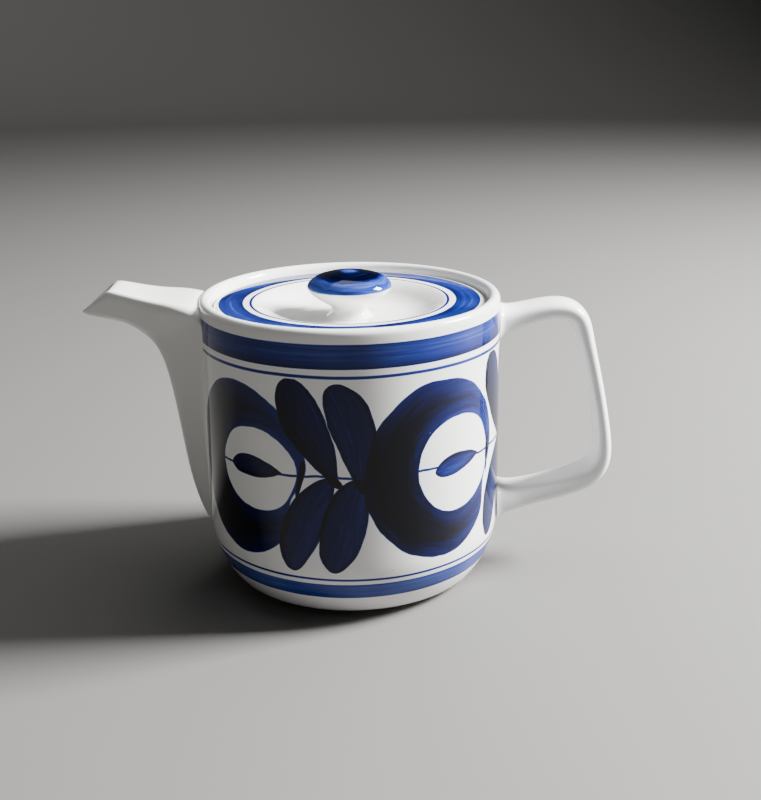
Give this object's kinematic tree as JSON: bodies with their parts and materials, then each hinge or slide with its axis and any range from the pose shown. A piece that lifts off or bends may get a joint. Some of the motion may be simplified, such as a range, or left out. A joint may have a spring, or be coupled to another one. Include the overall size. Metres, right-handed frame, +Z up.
{
  "type": "teapot",
  "caption": "Glazed porcelain teapot with a beaked pouring spout, strap handle, strainer holes and a lift-off lid sunk inside the rim with a mushroom knob.",
  "frame": {"origin": "centre of the foot ring's resting face, on the pot's axis", "axes": "+Z up along the pot's axis, +X from the pot towards the handle, -X towards the spout"},
  "size_m": [0.2141, 0.12, 0.1258],
  "materials": {
    "painted_porcelain": "White porcelain under a clear gloss glaze, with cobalt blue brush painting under the glaze.",
    "white_porcelain": "Plain white porcelain under a clear gloss glaze.",
    "painted_lid": "White porcelain under a clear gloss glaze, with cobalt blue brushed rings."
  },
  "bodies": {
    "pot": {"pot_body": "painted_porcelain", "spout": "white_porcelain", "handle": "white_porcelain"},
    "lid": {"lid": "painted_lid", "lid_knob": "painted_lid"}
  },
  "joints": [
    {"name": "lid_lift", "type": "slide", "parent": "pot", "child": "lid", "axis": [0, 0, 1], "range_m": [0, 0.06]}
  ]
}
